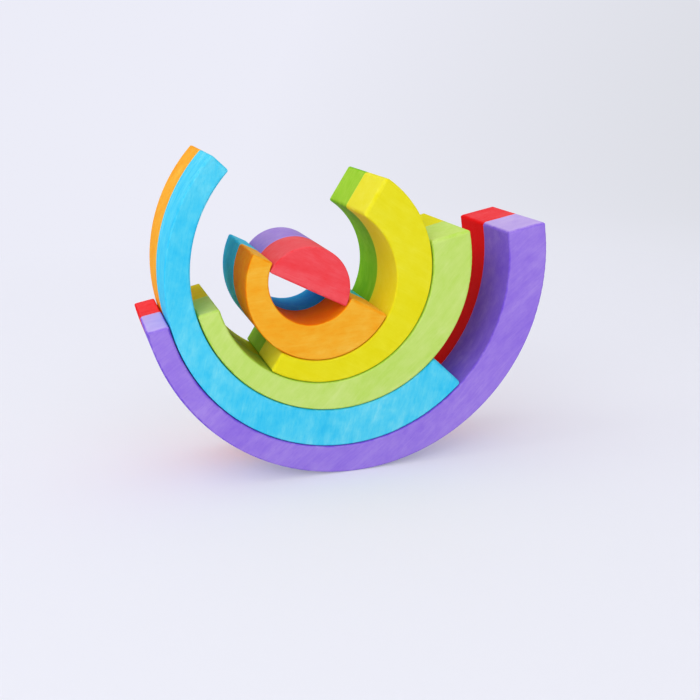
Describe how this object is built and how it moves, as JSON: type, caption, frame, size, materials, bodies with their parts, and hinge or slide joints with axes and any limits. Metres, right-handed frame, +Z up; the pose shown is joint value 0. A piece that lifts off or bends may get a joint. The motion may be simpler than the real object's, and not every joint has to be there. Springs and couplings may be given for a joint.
{
  "type": "rainbow stacker",
  "caption": "Nest of bicoloured stained wooden arches with off-centre hollows, each lying turned in the hollow of the next round a half-disc core, balanced on the outer arch's back.",
  "frame": {"origin": "on the floor under the outer arch, at the middle of the nest's width and depth", "axes": "+X to the right along the nest's width, towards the outer arch's thick leg; +Y from the front boards to the back boards; +Z up"},
  "size_m": [0.174, 0.05, 0.1376],
  "materials": {
    "violet_stain": "matte stained",
    "red_stain": "matte stained",
    "blue_stain": "matte stained",
    "orange_stain": "matte stained",
    "green_stain": "matte stained",
    "yellow_stain": "matte stained"
  },
  "bodies": {
    "outer_arch": {"outer_arch_violet_board": "violet_stain", "outer_arch_red_board": "red_stain"},
    "second_arch": {"second_arch_blue_board": "blue_stain", "second_arch_orange_board": "orange_stain"},
    "third_arch": {"third_arch_green_board": "green_stain", "third_arch_yellow_board": "yellow_stain"},
    "fourth_arch": {"fourth_arch_yellow_board": "yellow_stain", "fourth_arch_green_board": "green_stain"},
    "fifth_arch": {"fifth_arch_orange_board": "orange_stain", "fifth_arch_blue_board": "blue_stain"},
    "core": {"core_red_board": "red_stain", "core_violet_board": "violet_stain"}
  },
  "joints": [
    {"name": "second_turn", "type": "hinge", "parent": "outer_arch", "child": "second_arch", "pos_m": [-0.00539, 0, 0.08685], "axis": [0, -1, 0], "range_deg": [-34.7, 145.3]},
    {"name": "third_turn", "type": "hinge", "parent": "second_arch", "child": "third_arch", "pos_m": [-0.00864, 0, 0.08972], "axis": [0, -1, 0], "range_deg": [-147.6, 32.4]},
    {"name": "fourth_turn", "type": "hinge", "parent": "third_arch", "child": "fourth_arch", "pos_m": [-0.01301, 0, 0.08839], "axis": [0, -1, 0], "range_deg": [-133.6, 46.4]},
    {"name": "fifth_turn", "type": "hinge", "parent": "fourth_arch", "child": "fifth_arch", "pos_m": [-0.01544, 0, 0.08435], "axis": [0, -1, 0], "range_deg": [-5.3, 174.7]},
    {"name": "core_pull_out", "type": "slide", "parent": "fifth_arch", "child": "core", "axis": [0, -1, 0], "range_m": [-0.055, 0.055]}
  ]
}
